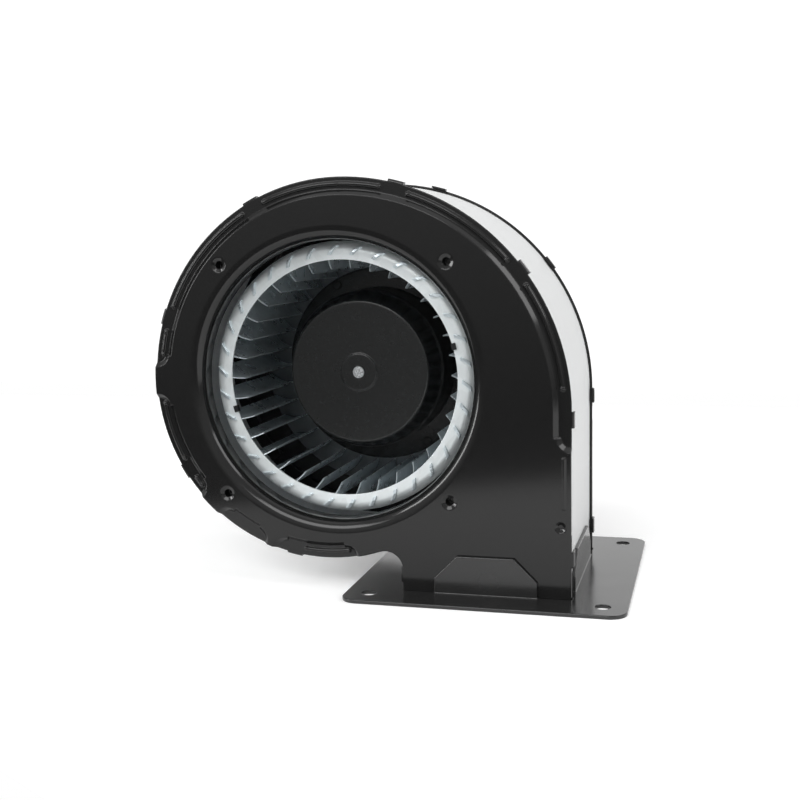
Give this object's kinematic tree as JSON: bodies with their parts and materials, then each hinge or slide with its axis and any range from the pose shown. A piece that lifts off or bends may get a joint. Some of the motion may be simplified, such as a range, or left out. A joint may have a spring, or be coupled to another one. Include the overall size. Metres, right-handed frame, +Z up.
{
  "type": "centrifugal blower",
  "caption": "Single-inlet centrifugal blower: pressed scroll housing on an outlet flange, with a forward-curved impeller on an external-rotor motor.",
  "frame": {"origin": "centre of the outlet flange's bolt pattern, on the flange's lower face", "axes": "+Z up from the flange, +X to the right as seen from the inlet, the inlet faces -Y"},
  "size_m": [0.2315, 0.14, 0.1975],
  "materials": {
    "black_paint": "satin black paint on pressed steel",
    "rotor_paint": "matt black paint on the rotor",
    "wrapper_sheet": "pale grey coated sheet",
    "zinc_sheet": "galvanised sheet",
    "cast_aluminium": "as die-cast",
    "lamination_steel": "stamped electrical steel",
    "winding_copper": "enamelled copper wire",
    "insulator": "pressed insulation",
    "bearing_steel": "ground bearing steel",
    "cage_plastic": "moulded",
    "bright_steel": "ground or zinc-plated steel",
    "spring_steel": "blackened spring steel",
    "grommet_rubber": "moulded"
  },
  "bodies": {
    "housing": {"outlet_flange": "black_paint", "front_side_plate": "black_paint", "rear_side_plate": "black_paint", "scroll_wrapper": "wrapper_sheet", "motor_flange": "cast_aluminium", "motor_screws": "bright_steel", "motor_screw_washers": "bright_steel", "cable_grommet": "grommet_rubber", "bearing_cap": "cage_plastic", "stator_core": "lamination_steel", "slot_insulators": "insulator", "stator_windings": "winding_copper", "front_bearing_outer": "bearing_steel", "rear_bearing_outer": "bearing_steel", "wave_washer": "spring_steel"},
    "impeller": {"rotor_can": "rotor_paint", "rotor_laminations": "lamination_steel", "rotor_cage": "cast_aluminium", "shaft": "bright_steel", "shaft_circlip": "spring_steel", "front_bearing_inner": "bearing_steel", "rear_bearing_inner": "bearing_steel", "impeller_front_ring": "zinc_sheet", "impeller_blades": "zinc_sheet", "impeller_back_disc": "zinc_sheet", "impeller_rivets": "rotor_paint", "balance_clips": "spring_steel"},
    "ball_sets": {"front_bearing_balls": "bearing_steel", "front_bearing_cage": "cage_plastic", "rear_bearing_balls": "bearing_steel", "rear_bearing_cage": "cage_plastic"}
  },
  "joints": [
    {"name": "impeller_spin", "type": "hinge", "parent": "housing", "child": "impeller", "pos_m": [-0.073, 0, 0.1015], "axis": [0, 1, 0], "continuous": true},
    {"name": "ball_orbit", "type": "hinge", "parent": "housing", "child": "ball_sets", "pos_m": [-0.073, 0, 0.1015], "axis": [0, 1, 0], "continuous": true}
  ],
  "couplings": [
    {"joint": "ball_orbit", "follows": "impeller_spin", "ratio": 0.3602}
  ]
}
